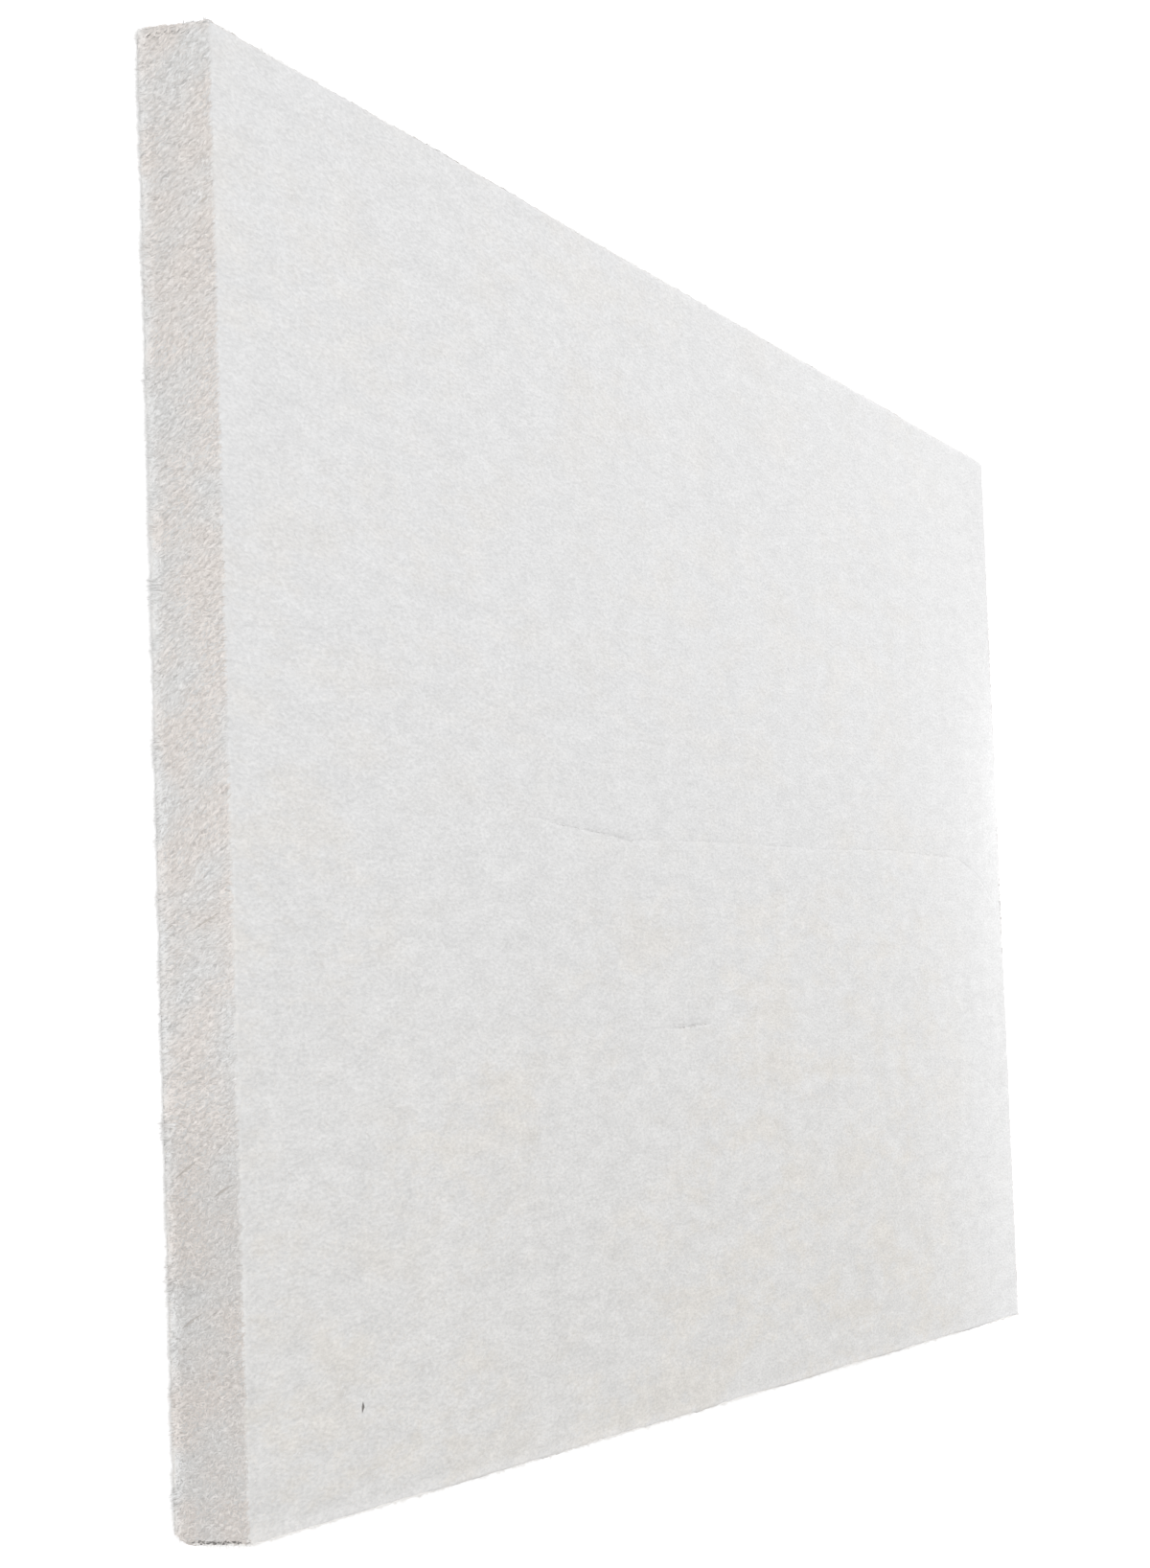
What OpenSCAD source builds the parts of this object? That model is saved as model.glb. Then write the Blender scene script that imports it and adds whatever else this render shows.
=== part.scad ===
// Rigid felted-fibre wall board, pressed as one sheet and sawn to size.
// The board lies on its back face: X runs along its length, Y across its width and Z out of
// its front face. The origin is the middle of the back face.

/* [Sheet] */
// Length of the sheet
sheet_length = 1200; // [600:10:3000]
// Width of the sheet
sheet_width = 600; // [300:10:1250]
// Thickness of the sheet
sheet_thickness = 33; // [18:0.5:60]

/* [Long sides] */
// Radius on the front arris of the upper long side
front_upper_arris_r = 3.5; // [0.4:0.1:6]
// Radius on the front arris of the lower long side
front_lower_arris_r = 1.5; // [0.4:0.1:6]
// Radius on the back arris of the upper long side
back_upper_arris_r = 2; // [0.4:0.1:6]
// Radius worn on the back arris of the lower long side, which the sheet has stood on
back_lower_arris_r = 8; // [0.4:0.1:10]

/* [Sawn ends] */
// Radius on the front arrises of the two sawn ends
end_front_arris_r = 1.2; // [0.4:0.1:6]
// Radius on the back arrises of the two sawn ends
end_back_arris_r = 1.6; // [0.4:0.1:6]

/* [Corners] */
// Radius of the four corners, seen from the front
corner_r = 3; // [0.5:0.5:30]

/* [Hidden] */
// How far a cutter reaches past the face that it cuts
overrun = 1;
// Sides of a full circle where arcs are drawn as facets
$fn = 96;
// Off-white of the felted fibre
fibre_colour = [0.90, 0.89, 0.88];

// What rounding one corner takes away: the corner at the origin, with material along +X and +Y
module corner_waste(radius) {
  difference() {
    translate([-overrun, -overrun]) square(radius + overrun);
    translate([radius, radius]) circle(radius);
  }
}

// Rectangle with its lower left corner at the origin and a radius of its own on each corner,
// in the order lower left, lower right, upper right, upper left
module eased_rectangle(size, radii) {
  corners = [[0, 0], [size[0], 0], size, [0, size[1]]];
  difference() {
    square(size);
    for (i = [0:len(corners) - 1])
      translate(corners[i]) rotate(i * 90) corner_waste(radii[i]);
  }
}

// The cross-section that the press and the slitting saws leave, run along the length
module pressed_strip() {
  radii = [back_lower_arris_r, back_upper_arris_r, front_upper_arris_r, front_lower_arris_r];
  translate([-sheet_length / 2, -sheet_width / 2, 0])
    rotate([90, 0, 90])
      linear_extrude(sheet_length) eased_rectangle([sheet_width, sheet_thickness], radii);
}

// The lengthwise section that the two sawn ends leave, run across the width
module sawn_length() {
  radii = [end_back_arris_r, end_back_arris_r, end_front_arris_r, end_front_arris_r];
  translate([-sheet_length / 2, sheet_width / 2, 0])
    rotate([90, 0, 0])
      linear_extrude(sheet_width) eased_rectangle([sheet_length, sheet_thickness], radii);
}

// The outline seen from the front, run through the thickness
module rounded_outline() {
  translate([-sheet_length / 2, -sheet_width / 2, 0])
    linear_extrude(sheet_thickness)
      eased_rectangle([sheet_length, sheet_width], [for (i = [0:3]) corner_r]);
}

// The whole sheet: what the cross-section, the lengthwise section and the outline share
module board() {
  color(fibre_colour)
    intersection() {
      pressed_strip();
      sawn_length();
      rounded_outline();
    }
}

board();
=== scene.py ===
"""Looks of a felted-fibre wall board: its pressed face, its open-fibred sawn edges, light and camera."""

import math

import bpy
import numpy as np
from mathutils import Matrix, Vector


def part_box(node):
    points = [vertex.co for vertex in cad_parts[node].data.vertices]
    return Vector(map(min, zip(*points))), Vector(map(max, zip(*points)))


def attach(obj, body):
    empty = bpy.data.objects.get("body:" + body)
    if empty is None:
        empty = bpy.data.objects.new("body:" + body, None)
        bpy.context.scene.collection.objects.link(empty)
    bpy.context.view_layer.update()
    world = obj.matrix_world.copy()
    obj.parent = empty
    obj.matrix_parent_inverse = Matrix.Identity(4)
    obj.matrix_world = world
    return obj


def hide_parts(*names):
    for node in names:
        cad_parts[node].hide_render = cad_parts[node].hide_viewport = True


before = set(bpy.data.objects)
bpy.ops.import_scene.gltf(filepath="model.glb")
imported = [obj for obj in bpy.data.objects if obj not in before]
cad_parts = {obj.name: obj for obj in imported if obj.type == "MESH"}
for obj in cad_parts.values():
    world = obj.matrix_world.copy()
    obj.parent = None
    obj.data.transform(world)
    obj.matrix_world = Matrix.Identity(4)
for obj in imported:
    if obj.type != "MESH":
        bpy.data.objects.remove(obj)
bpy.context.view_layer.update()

# A millimetre in metres, the least length to divide by, white, and the seed of the loose fibres
MM = 0.001
TINY = 1e-12
WHITE = (1, 1, 1, 1)
RANDOM_SEED = 5

# The board's own directions
ALONG = np.array((1, 0, 0))
ACROSS = np.array((0, 1, 0))
THROUGH = np.array((0, 0, 1))

# The board as the frame has it: its size, and the radii of its arrises and corners
LOW, HIGH = (np.array(corner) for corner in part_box("board"))
LENGTH, WIDTH, THICKNESS = HIGH - LOW
HALF_LENGTH, HALF_WIDTH = LENGTH / 2, WIDTH / 2
BACK_LOWER_R = 8 * MM
BACK_UPPER_R = 2 * MM
FRONT_UPPER_R = 3.5 * MM
FRONT_LOWER_R = 1.5 * MM
END_FRONT_R = 1.2 * MM
END_BACK_R = 1.6 * MM
CORNER_R = 3 * MM
# How far a normal leans over at most at the border of a sawn end
MOST_LEAN = 0.95

# The grid of the felt body
STATION_STEP = 5.2 * MM
ROW_STEP = 4.4 * MM
LEAST_ROWS = 2
SIDE_ROWS = 10
ARC_SHARES = np.array([0, 1 / 3, 2 / 3])
END_STATIONS = 6
# Felt that faces the front or the back by less than this counts as sawn
SAWN_FACING = 0.7

# The strips of the body's bake map: where each starts and how high it is; then the margin at their ends
BAKE_STRIPS = {
    "front": (0, 0.5), "back": (0.505, 0.385), "upper": (0.90, 0.028), "lower": (0.935, 0.028),
    "near": (0.97, 0.028), "far": (0.97, 0.028),
}
BAKE_MARGIN = 0.002

# Random fields: how many waves they add up, and the spread of the waves' lengths
RIPPLE_WAVES = 28
RIPPLE_SPREAD = (0.7, 1.6)
# The felt is never quite flat: height, wavelength and seed of its swells
SWELLS = ((0.10 * MM, 22 * MM, 11), (0.22 * MM, 140 * MM, 12))

# Creases pressed into the front face: x, y and depth along each line, in millimetres
CREASE_LINES = (
    ((-600, -110, 0), (-224, -103, 0), (-183, -102, 0.15), (-133, -102, 0.1), (-100, -101, 0.2),
     (-84, -101, 0.65), (-48, -99, 0.65), (-24, -99, 0), (470, -121, 0), (492, -126, 0.15),
     (539, -136, 0.15), (576, -150, 0.15), (600, -158, 0)),
    ((-600, 10, 0), (-330, 2, 0), (-280, -1, 0.2), (-245, -3, 0.35), (-195, -4, 0.6), (-150, -6, 0.7),
     (-132, -5, 0.25), (-66, -2, 0.25), (21, 1, 0.22), (182, 5, 0.22), (325, 11, 0.25), (487, 13, 0.3),
     (536, 5, 0.3), (573, -10, 0.25), (600, -22, 0)),
    ((-600, 54, 0), (-185, 50, 0), (-169, 49, 0.15), (-121, 46, 0.2), (-69, 46, 0.15), (-50, 46, 0),
     (600, 60, 0)),
)
# Rows beside the bottom of a crease, and the share of its depth that each has
CREASE_ROWS = np.array([-1.5, -0.45, 0, 0.45, 1.5]) * MM
CREASE_SHARES = np.array([-0.15, 0.45, 1, 0.45, -0.15])

# Loose fibres are needles: six faces between the tail, head, ridge, left and right
NEEDLE_FACES = np.array([(0, 2, 3), (0, 4, 2), (0, 3, 4), (1, 3, 2), (1, 2, 4), (1, 4, 3)])
# How deep a needle's ends dip into the felt, as a share of its width, and its sides, as a share of that
END_DIP_SHARE = 0.5
SIDE_DIP_SHARE = 1 / 3
# Painted light and shade on each needle: how much lighter than its needle each of those points is, the
# ridge lighter and the ends and sides that dip into the felt darker, and how much of that its warmth takes
POINT_LIGHT_AND_SHADE = np.array([-0.15, -0.1, 0.12, -0.06, -0.02])
POINT_WARMTH_SHARE = 0.1
# Fibres scatter light, so they are shaded like the felt round them but for this much of a lean, and never
# less square to a face than this
FIBRE_LEAN = 0.7
LEAST_FACING = 0.2
# Needles that reach further past the board than a spare are cut to a share of their length, pass by pass
TRIM_PASSES = 6
TRIM_SHARE = 0.7
TRIM_SPARE = 0.5 * MM

# Needle sizes, from the least to the most: length, width, rise of the middle and lift of the tip
FACE_SIZES = ((5 * MM, 14 * MM), (0.5 * MM, 0.9 * MM), (0.06 * MM, 0.22 * MM), (0, 0.3 * MM))
SAWN_SIZES = ((2.2 * MM, 4.8 * MM), (0.45 * MM, 0.8 * MM), (0.14 * MM, 0.40 * MM), (0, 0.6 * MM))
FUZZ_SIZES = ((0.6 * MM, 1.2 * MM), (0.2 * MM, 0.4 * MM), (0.05 * MM, 0.15 * MM), (0, 0.8 * MM))
SPECK_SIZES = ((2 * MM, 5 * MM), (0.4 * MM, 0.8 * MM), (0.3 * MM, 0.5 * MM), (0, 0.3 * MM))
# The higher this power, the rarer the high tips
LIFT_POWER = 4

# Soil warms the face between two heights; painted shade darkens it from higher up and spares the lower rim
SOIL_TOP = 50 * MM
SHADE_TOP = 110 * MM
SOIL_AND_SHADE_FOOT = -250 * MM
RIM_START = 3 * MM
RIM_STOP = 6 * MM
# Towards the far end its warmth fades, and its painted shade thins out, to a least share
FADE_START = 380 * MM
FADE_STOP = 510 * MM
FADE_LEAST = 0.1
THIN_START = 300 * MM
THIN_STOP = 580 * MM
THIN_LEAST = 0.4
# Where soil and painted shade start on the sawn edges, and where they are heaviest
SAWN_LOW_TOP = -110 * MM
SAWN_LOW_FOOT = -180 * MM

# Fibres of the face: how many, then the mean and the spread of their angles in degrees
FACE_FIBRES = 33000
FACE_ANGLE = 10
FACE_SPREAD = 22
# Their tones, and what painted shade towards the foot, painted light on the lower rim and a painted
# highlight in a band beside the near arris add to those
FACE_TONES = (0.1, 1)
FACE_FOOT_SHADE_TONE = -0.2
FACE_RIM_LIGHT_TONE = 0.5
ARRIS_BAND = 12 * MM
ARRIS_HIGHLIGHT_TONE = 0.2
# Their warmth where there is soil, with its swing, and in that band
FACE_WARMTH = 0.6
FACE_WARMTH_SWING = 0.4
FACE_WARMTH_WAVE = 40 * MM
FACE_SEED = 21
ARRIS_WARMTH = 0.6

# Fibres of the sawn edges: how many, how coarse, and the seed of each edge
NEAR_FIBRES = 33000
NEAR_COARSE = 1
NEAR_SEED = 30
FAR_FIBRES = 12000
FAR_COARSE = 1.35
FAR_SEED = 40
SIDE_FIBRES = 16000
SIDE_COARSE = 1.5
UPPER_SEED = 50
LOWER_SEED = 60
# How far they keep from the front and the back of an end, and from the ends and the front of a long side;
# then how deep a strip at the back of an end has twice as many
FRONT_BARE = 0.8 * MM
BACK_BARE = 0.1 * MM
SIDE_BARE = 4 * MM
SIDE_FRONT_BARE = 2 * MM
BACK_EXTRA = 3 * MM
# The saw drags them slantwise: in degrees the slant, its swing, its spread and what soil adds to that; then
# the wavelength of the swing
SLANT = 33
SLANT_SWING = 6
SLANT_SPREAD = 24
SOILED_SPREAD = 17
SWING_WAVE = 60 * MM
# The furrows that it leaves: their length, width and depth, the waves that make them up, and the step that
# their slope is taken over; then how much relief soil takes, and how far the fibres stand clear of the felt
FURROW_LONG = 6 * MM
FURROW_WIDE = 2.4 * MM
FURROW_DEPTH = 0.135 * MM
FURROW_WAVES = 60
FURROW_NUDGE = 0.05
SOIL_MATTING = 0.3
SAWN_LIFT = 0.22 * MM
# Along the back they fluff up in tufts: the height of that band, how far the tips lift, the power that makes
# high ones rare, how far they are shaded towards the front, and the tufts' swing, wavelength and limit
BACK_BAND = 7 * MM
FLUFF_LIFT = 3.2 * MM
FLUFF_POWER = 2
FLUFF_LEAN = 0.9
TUFT_SWING = 0.7
TUFT_WAVE = 14 * MM
MOST_TUFT = 3
# Their tones: the lightest, the fall to the darkest and the power that makes those rare, then the painted
# light and shade that a furrow adds, the painted light that the back adds, the painted shade that the lower
# side takes, and how much of that the back is spared
SAWN_TONE = 0.82
SAWN_TONE_FALL = 0.82
DARK_POWER = 2.5
FURROW_SHADE_TONE = 0.12
BACK_LIGHT_TONE = 0.5
SAWN_LOW_SHADE_TONE = 0.38
BACK_SPARED = 0.7
# Their warmth: its mean, share and wavelength of its small and its large patches, and what the back takes
SAWN_WARMTH = 0.72
SMALL_WARMTH = 0.26
SMALL_WAVE = 16 * MM
LARGE_WARMTH = 0.3
LARGE_WAVE = 40 * MM
BACK_COOLING = 0.6

# Hairs along the arrises: the places of their lines
UPPER_Y, UPPER_Z = HALF_WIDTH - 1 * MM, THICKNESS - 1 * MM
LOWER_Y, LOWER_Z = 0.5 * MM - HALF_WIDTH, THICKNESS - 0.5 * MM
FAR_X, FAR_Z = HALF_LENGTH - 0.4 * MM, THICKNESS - 0.4 * MM
FRINGE_START, FRINGE_Z, FRINGE_TUFT_Z = BACK_LOWER_R - HALF_WIDTH, 1.1 * MM, 1.6 * MM
NEAR_X, NEAR_Y = 1 * MM - HALF_LENGTH, HALF_WIDTH - 0.8 * MM
# Where each line starts and stops, which way its hairs stand out, which way their backs are turned, which way
# they are shaded, how many there are, and how much longer the longest are
FUZZ_LINES = (
    ((-HALF_LENGTH, UPPER_Y, UPPER_Z), (HALF_LENGTH, UPPER_Y, UPPER_Z),
     ACROSS, THROUGH, THROUGH, 6000, 4 * MM),
    ((-HALF_LENGTH, LOWER_Y, LOWER_Z), (HALF_LENGTH, LOWER_Y, LOWER_Z),
     -ACROSS, THROUGH, (0, 0.4, 0.92), 11000, 2.2 * MM),
    ((FAR_X, -HALF_WIDTH, FAR_Z), (FAR_X, HALF_WIDTH, FAR_Z),
     THROUGH, -ALONG, -ALONG, 2500, 2.5 * MM),
    ((-HALF_LENGTH, FRINGE_START, FRINGE_Z), (-HALF_LENGTH, HALF_WIDTH, FRINGE_Z),
     (-0.8, 0, -0.6), (-0.6, 0, 0.8), (-0.6, 0, 0.8), 5500, 4.5 * MM),
    ((-HALF_LENGTH, FRINGE_START, FRINGE_TUFT_Z), (-HALF_LENGTH, HALF_WIDTH, FRINGE_TUFT_Z),
     (-0.95, 0, -0.3), (-0.3, 0, 0.95), (-0.6, 0, 0.8), 2500, 7 * MM),
    ((NEAR_X, NEAR_Y, 0), (NEAR_X, NEAR_Y, THICKNESS),
     ACROSS, -ALONG, (-0.7, 0.7, 0), 400, 3 * MM),
    ((NEAR_X, -NEAR_Y, BACK_LOWER_R), (NEAR_X, -NEAR_Y, THICKNESS),
     -ACROSS, -ALONG, -ALONG, 200, 2.5 * MM),
)
# The spread of their angles in degrees, the power that makes long ones rare, the tufts that they stand in,
# their warmth, and what soil adds to that
FUZZ_SPREAD = 40
FUZZ_POWER = 2
FUZZ_TUFT_SWING = 0.9
FUZZ_TUFT_WAVE = 5 * MM
FUZZ_TUFT_LIMITS = (0.1, 3)
FUZZ_SEED = 71
FUZZ_WARMTHS = (0, 0.4)
FUZZ_SOIL_WARMTH = 0.5

# Painted shadow along the foot of the near end, as dark specks: how many specks, how high, the spread of
# their angles in degrees, and the tones of all specks
FOOT_SHADOW_SPECKS = 34
SPECK_HEIGHTS = (0.7 * MM, 2 * MM)
SPECK_SPREAD = 12
SPECK_TONES = (0.4, 1)
# The fleck on the front face: its place, its size as a needle and the way it points
FLECK_X = -494 * MM
FLECK_Y = -257 * MM
FLECK_SIZE = (9 * MM, 1.9 * MM, 0.7 * MM, 0)
FLECK_RUN = (0.2, 1, 0)
# Long marks of the saw on the near end, as dark needles of painted shade in its grooves: y, z and length of
# each, in millimetres; then their width, rise, lift, spread of angles in degrees and tones
SAW_MARKS = ((227, 28, 6), (-59, 21, 20), (-60, 6, 11), (-155, 10, 17), (-164, 25, 11), (-214, 10, 17))
MARK_WIDTH = 0.9 * MM
MARK_RISE = 0.45 * MM
MARK_LIFT = 0.45 * MM
MARK_SPREAD = 3
MARK_TONES = (0.4, 1)

# Colours of the felt and of its hairs, from cool to warm; the hairs are painted paler than the felt, as
# painted light
FACE_COOL = (0.874, 0.874, 0.877)
FACE_WARM = (0.886, 0.860, 0.824)
SAWN_COOL = (0.876, 0.876, 0.873)
SAWN_WARM = (0.903, 0.860, 0.829)
FUZZ_COOL = (0.930, 0.930, 0.925)
FUZZ_WARM = (0.945, 0.922, 0.895)
# Colours of the painted shade in the saw's grooves, and of the dark specks: the painted shadow along the foot
# and the fleck of soil
GROOVE_SHADE_COOL = (0.58, 0.56, 0.54)
GROOVE_SHADE_WARM = (0.63, 0.59, 0.55)
SPECK_DARK = (0.24, 0.23, 0.22)
SPECK_BROWN = (0.34, 0.31, 0.28)
# What the deepest painted shade towards the foot, clouds, bands, grain and fibres leave of those colours
PAINTED_FOOT_SHADE = (0.976, 0.976, 0.972)
CLOUD_SHADE = (0.905, 0.905, 0.905)
FOOT_CLOUD_SHADE = (0.85, 0.85, 0.85)
BAND_SHADE = (0.988, 0.988, 0.988)
GRAIN_SHADE = (0.862, 0.862, 0.862)
FOOT_GRAIN_SHADE = (0.85, 0.85, 0.85)
FIBRE_SHADE = (0.80, 0.79, 0.78)
SAWN_SHADE = (0.72, 0.71, 0.70)
# What the felt under the sawn fibres keeps of its colour, and what painted shade towards the lower side
# leaves of that
SAWN_BASE_SHADE = (0.95, 0.945, 0.94)
SAWN_LOW_SHADE = (0.91, 0.905, 0.90)
# How warm the face is in patches, where it is soiled, and in patches there
PATCH_WARMTH = 0.4
SOIL_WARMTH = 0.3
SOILED_PATCH_WARMTH = 0.6

# Patterns of the felt: scale along, across and through the board, turn in degrees, detail and roughness
FINE_GRAIN = ((240, 700, 700), -13, 3, 0.52)
FINER_GRAIN = ((350, 900, 900), -8, 3, 0.52)
CLOUDS = ((36, 115, 115), -4, 4, 0.85)
BANDS = ((28, 2.2, 2.2), 2, 2, 0.5)
FLECKS = ((10, 30, 30), -3, 5, 0.75)
REGIONS = ((4, 10, 10), 8, 3, 0.6)
# The noise that counts as 0 and as 1 in each pattern, with the two grains added up
GRAIN_LIMITS = (0.75, 1.25)
CLOUD_LIMITS = (0.3, 0.7)
BAND_LIMITS = (0.35, 0.65)
FLECK_LIMITS = (0.47, 0.60)
REGION_LIMITS = (0.36, 0.54)
# Surface of the felt, and the bump of its grain
ROUGHNESS = 0.95
SPECULAR = 0.2
BUMP_STRENGTH = 0.5
BUMP_DISTANCE = 0.3 * MM

# Light: the dome, the floor, and the name, place, aim, size in metres and power in watts of each lamp
DOME_LEVEL = 0.64
FLOOR_HALF_SIDE = 8
FLOOR_DROP = 0.3 * MM
FLOOR_ALBEDO = 0.7
FLOOR_GLOW = 0.56
LAMPS = (
    ("key", (1.2, 1.75, 1.65), (0.1, 0.1, 0), 1.4, 30),
    ("far", (0.88, -0.2, 0.2), (0.6, -0.15, 0), 0.3, 0.38),
    ("glow", (0.67, 0.06, 0.11), (0.6, 0.06, 0.03), 0.08, 0.03),
    ("graze", (-3.7, -0.6, 1.7), (-0.6, 0, 0), 1.0, 50),
)

# Camera, from the photograph's six corners of the board
CAMERA_PLACE = Vector((-1.8519, -0.1239, 0.6585))
CAMERA_AIM = Vector((-0.2413, 0.0167, 0.0393))
PICTURE_UP = Vector((-0.0634, 0.9961, 0.0611))
PICTURE_HEIGHT_PX = 1636
FOCAL_PX = 3734
SENSOR_MM = 36


def ripple(points, wavelength, seed, waves=RIPPLE_WAVES):
    """A smooth random field over the points, with a mean of 0 and a spread of about 1."""
    rng = np.random.default_rng(seed)
    ways = rng.normal(size=(waves, points.shape[1]))
    ways /= np.linalg.norm(ways, axis=1)[:, None]
    lengths = wavelength * rng.uniform(*RIPPLE_SPREAD, waves)
    phases = rng.uniform(0, 2 * math.pi, waves)
    angles = points @ (ways * (2 * math.pi / lengths[:, None])).T + phases
    return math.sqrt(2 / waves) * np.cos(angles).sum(axis=1)


def swell(points):
    """How far the felt stands proud of its flat surface at each point."""
    return sum(height * ripple(points, wavelength, seed) for height, wavelength, seed in SWELLS)


def smooth_step(values, start, stop):
    """0 before the start, 1 after the stop, and a smooth rise between them."""
    share = np.clip((values - start) / (stop - start), 0, 1)
    return share * share * (3 - 2 * share)


def unit(vectors):
    """The vectors at a length of 1."""
    return vectors / np.maximum(np.linalg.norm(vectors, axis=1), TINY)[:, None]


def laid_flat(vectors, normals):
    """The vectors turned square to the normals, at a length of 1."""
    return unit(vectors - normals * (vectors * normals).sum(axis=1)[:, None])


def turned(first, second, angles):
    """Directions turned by the angles from the first axis towards the second."""
    return np.cos(angles)[:, None] * np.array(first) + np.sin(angles)[:, None] * np.array(second)


def corner_radius(y, z):
    """The arris radius of the quarter of the cross-section that each point lies in."""
    upper, front = y > 0, z > THICKNESS / 2
    back_r = np.where(upper, BACK_UPPER_R, BACK_LOWER_R)
    front_r = np.where(upper, FRONT_UPPER_R, FRONT_LOWER_R)
    return np.where(front, front_r, back_r)


def end_radius(z):
    """The arris radius of the sawn ends at each height."""
    return np.where(z > THICKNESS / 2, END_FRONT_R, END_BACK_R)


def from_core(y, z):
    """The arris centre line nearest to each point of the cross-section, and the way out from it."""
    radius = corner_radius(y, z)
    core = np.stack([
        np.clip(y, radius - HALF_WIDTH, HALF_WIDTH - radius),
        np.clip(z, radius, THICKNESS - radius),
    ], axis=-1)
    away = np.stack([y, z], axis=-1) - core
    span = np.linalg.norm(away, axis=-1)
    return core, away / np.maximum(span, TINY)[..., None], span, radius


def recess(inside, radius):
    """How far a rounded arris lies below the flat surface, at a distance inside its border."""
    short = np.clip(radius - inside, 0, radius)
    return radius - np.sqrt(radius**2 - short**2)


def tube_point(x, y, z):
    """The points of the eased faces and long sides over points of the plain box, with their normals."""
    core, out, _, radius = from_core(y, z)
    eased = core + out * radius[..., None]
    inside = HALF_LENGTH - np.abs(x)
    inset = np.stack([recess(inside, CORNER_R), recess(inside, end_radius(z))], axis=-1)
    eased = eased - inset * out
    points = np.concatenate([x[..., None], eased], axis=-1)
    normals = np.concatenate([np.zeros_like(x)[..., None], out], axis=-1)
    return points, normals


def end_point(end, y, z):
    """The points of a sawn end over points of its cross-section, with their normals and depth inside it."""
    _, out, span, radius = from_core(y, z)
    inside = radius - span
    border_r = CORNER_R * out[..., 0]**2 + end_radius(z) * out[..., 1]**2
    x = end * (HALF_LENGTH - recess(inside, border_r))
    lean = np.clip(1 - inside / np.maximum(border_r, TINY), 0, MOST_LEAN)
    points = np.stack([x, y, z], axis=-1)
    normals = np.stack([end * np.sqrt(1 - lean**2), out[..., 0] * lean, out[..., 1] * lean], axis=-1)
    return points, normals, inside


def make_mesh(name, points, faces, attributes, uv):
    """A smooth mesh object from arrays: points, faces of one size, values for each point, and a bake map."""
    mesh = bpy.data.meshes.new(name)
    count, sides = faces.shape
    mesh.vertices.add(len(points))
    mesh.vertices.foreach_set("co", points.astype(np.float32).ravel())
    mesh.loops.add(count * sides)
    mesh.loops.foreach_set("vertex_index", faces.astype(np.int32).ravel())
    mesh.polygons.add(count)
    mesh.polygons.foreach_set("loop_start", np.arange(0, count * sides, sides, dtype=np.int32))
    mesh.polygons.foreach_set("use_smooth", np.ones(count, bool))
    for key, values in attributes.items():
        made = mesh.attributes.new(key, "FLOAT", "POINT")
        made.data.foreach_set("value", values.astype(np.float32))
    layer = mesh.uv_layers.new(name="OFBake")
    layer.data.foreach_set("uv", uv.astype(np.float32).ravel())
    mesh.update(calc_edges=True)
    mesh.validate()
    piece = bpy.data.objects.new(name, mesh)
    bpy.context.scene.collection.objects.link(piece)
    return piece


def stations():
    """Where the rings of the felt body stand along the length: close together at the eased ends."""
    arc = CORNER_R * (1 - np.cos(np.linspace(0, math.pi / 2, END_STATIONS)))
    middle = np.linspace(arc[-1] - HALF_LENGTH, HALF_LENGTH - arc[-1], round(LENGTH / STATION_STEP))
    return np.concatenate([arc[:-1] - HALF_LENGTH, middle, HALF_LENGTH - arc[-2::-1]])


def crease_at(line, x):
    """Where a crease line runs across the width and how deep it is, at each station."""
    along, across, depth = np.array(line).T * MM
    return np.interp(x, along, across), np.interp(x, along, depth)


def rows_between(start, stop):
    """Rows from the start up to the stop at each station, about a row step apart."""
    count = max(LEAST_ROWS, round(np.mean(stop - start) / ROW_STEP))
    return np.linspace(start, stop, count, endpoint=False, axis=-1)


def front_rows(x):
    """The rows of the front face at each station, close together along each crease, and their depth."""
    edge = np.ones_like(x)
    lower = (FRONT_LOWER_R * ARC_SHARES - HALF_WIDTH) * edge[:, None]
    upper = (HALF_WIDTH - FRONT_UPPER_R * ARC_SHARES[::-1]) * edge[:, None]
    parts, depths = [lower], [np.zeros_like(lower)]
    start = (FRONT_LOWER_R - HALF_WIDTH) * edge
    for line in CREASE_LINES:
        across, depth = crease_at(line, x)
        bundle = across[:, None] + CREASE_ROWS
        gap = rows_between(start, bundle[:, 0])
        parts += [gap, bundle]
        depths += [np.zeros_like(gap), depth[:, None] * CREASE_SHARES]
        start = bundle[:, -1] + ROW_STEP
    stop = (HALF_WIDTH - FRONT_UPPER_R) * edge
    gap = rows_between(start, stop)
    parts += [gap, stop[:, None], upper]
    depths += [np.zeros_like(gap), np.zeros_like(stop)[:, None], np.zeros_like(upper)]
    return np.concatenate(parts, axis=1), np.concatenate(depths, axis=1)


def eased_steps(length, start_r, end_r, count):
    """Distances along a side of the cross-section, with steps for the arcs at both of its ends."""
    flat = np.linspace(start_r, length - end_r, count + 1)
    return np.concatenate([start_r * ARC_SHARES, flat, length - end_r * ARC_SHARES[::-1]])


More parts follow.
